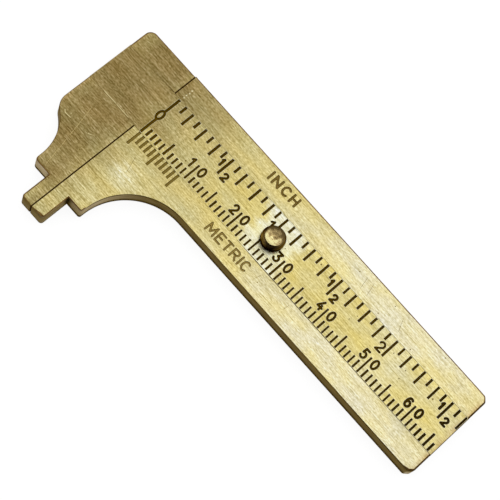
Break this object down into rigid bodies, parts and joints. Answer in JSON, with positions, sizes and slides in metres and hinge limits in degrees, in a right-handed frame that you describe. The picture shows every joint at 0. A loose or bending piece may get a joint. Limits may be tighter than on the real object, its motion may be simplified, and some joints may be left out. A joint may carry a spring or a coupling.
{
  "type": "slide caliper",
  "caption": "Flat brass pocket slide caliper: a beam with a fixed jaw and vernier, and a dovetailed graduated bar that carries the moving jaw and a thumb stud.",
  "frame": {"origin": "back face of the beam, at the fixed jaw's measuring face on the slide's centreline", "axes": "+X along the beam from the measuring face to the tail, +Y across to the inch side, with the jaws towards -Y, +Z out of the graduated front face"},
  "size_m": [0.0788, 0.0343, 0.0049],
  "materials": {
    "beam_brass": "brushed along the beam, with darkened vernier lines",
    "bar_brass": "brushed along the bar, with dark filled scale lines and numbers",
    "head_brass": "brushed along the beam, with light tarnish and scratches",
    "stud_brass": "turned, with a dished top",
    "pin_brass": "filed flush",
    "spring_bronze": "rolled bronze strip"
  },
  "bodies": {
    "frame": {"beam": "beam_brass", "stop_pin": "pin_brass", "friction_spring": "spring_bronze"},
    "slide": {"slide_bar": "bar_brass", "moving_jaw": "head_brass", "thumb_stud": "stud_brass", "jaw_pin_upper": "pin_brass", "jaw_pin_lower": "pin_brass"}
  },
  "joints": [
    {"name": "jaw_slide", "type": "slide", "parent": "frame", "child": "slide", "axis": [-1, 0, 0], "range_m": [0, 0.06]}
  ]
}
